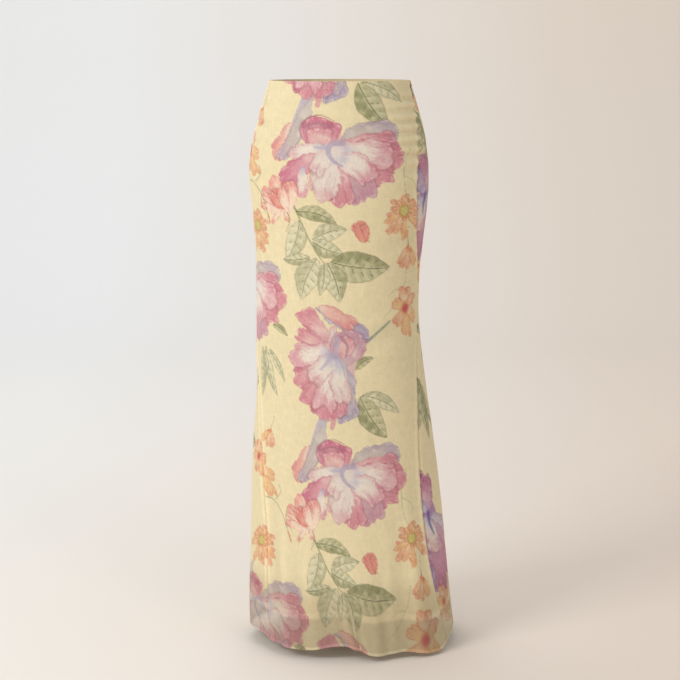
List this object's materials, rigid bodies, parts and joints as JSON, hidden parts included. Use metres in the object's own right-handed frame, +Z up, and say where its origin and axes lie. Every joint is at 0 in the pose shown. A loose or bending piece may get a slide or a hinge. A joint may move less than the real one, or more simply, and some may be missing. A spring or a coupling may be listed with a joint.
{
  "type": "maxi skirt",
  "caption": "Long fitted skirt in cream floral crepe, lined, with a faced waist, a flared fishtail hem and a concealed side zip, in the hollow form in which it is worn.",
  "frame": {"origin": "centre of the waist opening, level with its top edge", "axes": "+Z up along the skirt, -Y towards the front, +X towards the wearer's left, where the zip is"},
  "size_m": [0.3868, 0.3626, 1.0392],
  "materials": {
    "printed_crepe": "matt, soft drape, large floral print",
    "lining_cloth": "plain smooth lining with a faint sheen",
    "zip_tape": "matt woven tape",
    "zip_metal": "dull lacquered metal"
  },
  "bodies": {
    "skirt": {"front_panel": "printed_crepe", "back_panel": "printed_crepe", "waist_facing_front": "printed_crepe", "waist_facing_back": "printed_crepe", "lining_front": "lining_cloth", "lining_back": "lining_cloth", "zip_tape": "zip_tape", "zip_slider": "zip_metal"},
    "zip_pull": {"zip_pull": "zip_metal"}
  },
  "joints": [
    {"name": "pull_swing", "type": "hinge", "parent": "skirt", "child": "zip_pull", "pos_m": [0.12779, -0.02099, -0.00808], "axis": [-0.3452, -0.9307, 0.1209], "range_deg": [0, 150]}
  ]
}
